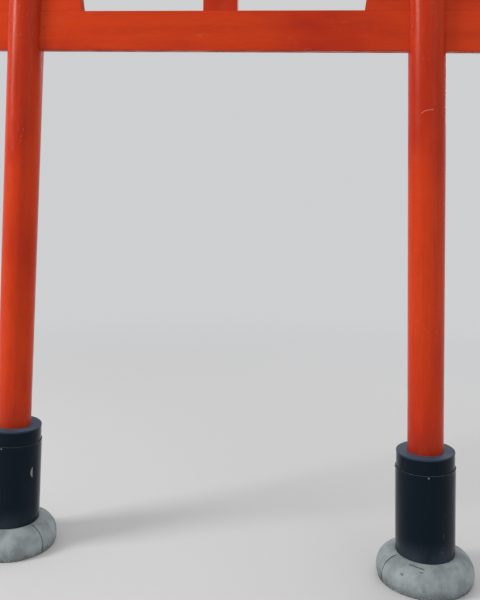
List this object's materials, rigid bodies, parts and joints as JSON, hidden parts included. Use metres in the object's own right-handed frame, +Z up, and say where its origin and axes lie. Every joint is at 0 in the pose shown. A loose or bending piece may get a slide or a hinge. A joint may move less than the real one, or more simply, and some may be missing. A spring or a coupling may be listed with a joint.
{
  "type": "votive torii gate",
  "caption": "Vermilion votive torii gate with leaning round posts, a wedged through tie beam, upswept lintels under a black cap, black foot sleeves and squat base stones.",
  "frame": {"origin": "on the ground, midway between the two posts", "axes": "+X across the gate to the right-hand post as seen from the front, +Y through the passage away from the viewer, +Z up"},
  "size_m": [3.0964, 0.496, 3.4976],
  "materials": {
    "vermilion_paint": "vermilion gloss paint on timber",
    "black_paint": "black paint on timber",
    "black_sleeve": "glossy black with scuffs",
    "base_stone": "weathered grey"
  },
  "bodies": {
    "root": {"left_pillar": "vermilion_paint", "right_pillar": "vermilion_paint", "tie_beam": "vermilion_paint", "left_inner_wedge": "vermilion_paint", "left_outer_wedge": "vermilion_paint", "right_inner_wedge": "vermilion_paint", "right_outer_wedge": "vermilion_paint", "centre_strut": "vermilion_paint", "lower_lintel": "vermilion_paint", "upper_lintel": "vermilion_paint", "lintel_cap": "black_paint", "left_sleeve": "black_sleeve", "right_sleeve": "black_sleeve", "left_sleeve_collar": "black_sleeve", "right_sleeve_collar": "black_sleeve", "left_sleeve_lid": "black_sleeve", "right_sleeve_lid": "black_sleeve", "left_front_stone": "base_stone", "left_rear_stone": "base_stone", "right_front_stone": "base_stone", "right_rear_stone": "base_stone"}
  },
  "joints": []
}
